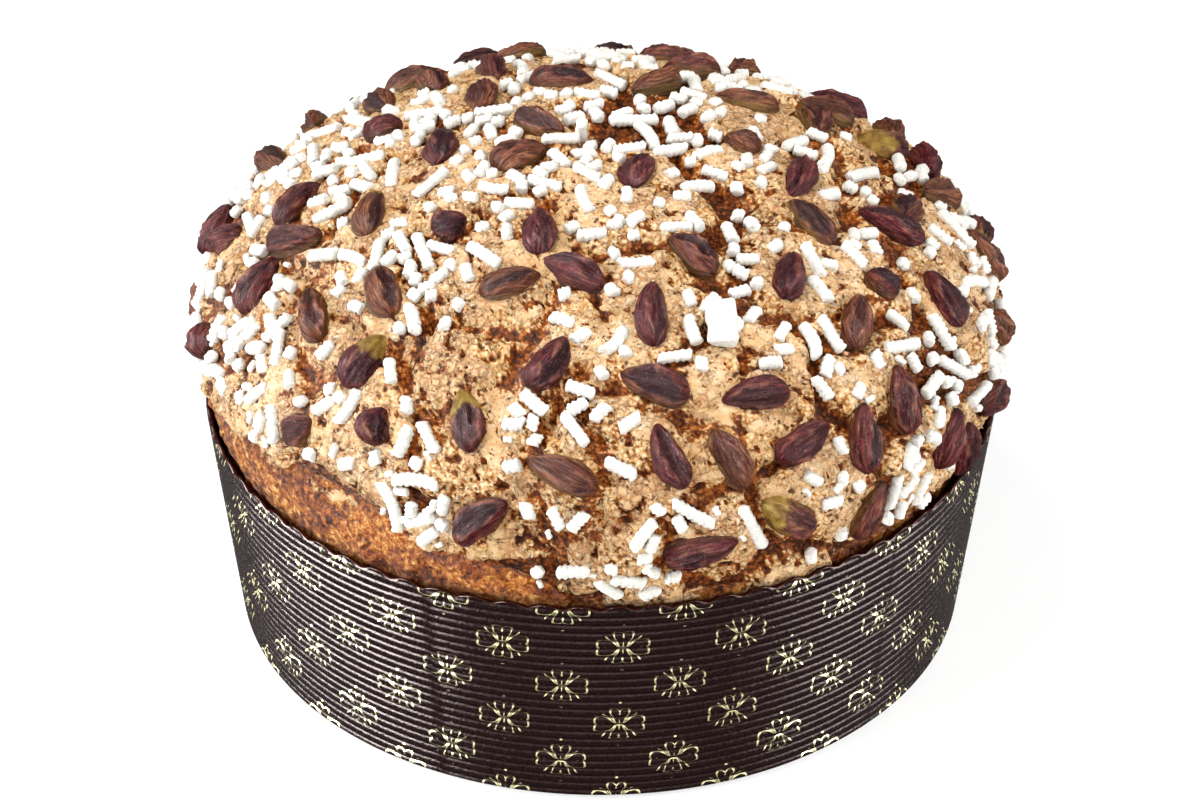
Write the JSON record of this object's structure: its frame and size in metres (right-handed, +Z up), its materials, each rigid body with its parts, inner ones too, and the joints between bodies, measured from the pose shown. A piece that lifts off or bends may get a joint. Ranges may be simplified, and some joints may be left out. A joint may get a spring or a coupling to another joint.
{
  "type": "panettone",
  "caption": "Low round festive loaf domed over a ribbed paper baking case, with almond glaze, pistachios and sugar nibs.",
  "frame": {"origin": "centre of the paper case's base, on the case's axis", "axes": "+Z up along the case's axis, -Y towards the viewer, the bare crust low on the -X and -Y side"},
  "size_m": [0.2178, 0.216, 0.1405],
  "materials": {
    "case_paper": "satin ribbed paper with a gold print",
    "baked_crust": "dry golden-brown baked crust",
    "almond_glaze": "matte crackled almond glaze with nuts and sugar"
  },
  "bodies": {
    "root": {"paper_case": "case_paper", "loaf": "baked_crust", "glaze": "almond_glaze"}
  },
  "joints": []
}
